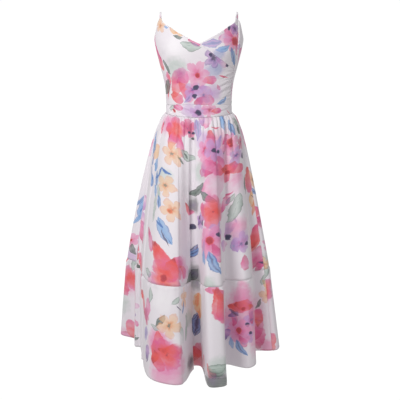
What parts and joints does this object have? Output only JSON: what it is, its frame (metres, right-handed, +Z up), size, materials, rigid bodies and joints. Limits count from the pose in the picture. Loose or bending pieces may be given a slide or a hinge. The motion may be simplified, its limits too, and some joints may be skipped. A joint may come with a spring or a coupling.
{
  "type": "maxi dress",
  "caption": "Sleeveless maxi dress with thin shoulder straps, a faux-wrap V-neck bodice, a shaped waistband and a gathered skirt with a gathered lower tier, held open as worn.",
  "frame": {"origin": "midway between the tops of the two shoulder straps, where the wearer's shoulders hold the dress", "axes": "+Z up along the dress, -Y out of its front, +X towards the wearer's left side"},
  "size_m": [0.6943, 0.7527, 1.3793],
  "materials": {
    "printed_crepe": "soft matte-satin crepe, printed",
    "strap": "soft matte-satin crepe, printed"
  },
  "bodies": {
    "root": {"strap_left": "strap", "strap_right": "strap", "bodice_over": "printed_crepe", "bodice_under": "printed_crepe", "bodice_back": "printed_crepe", "waistband_front": "printed_crepe", "waistband_back": "printed_crepe", "skirt_front": "printed_crepe", "skirt_back": "printed_crepe", "tier_front": "printed_crepe", "tier_back": "printed_crepe"}
  },
  "joints": []
}
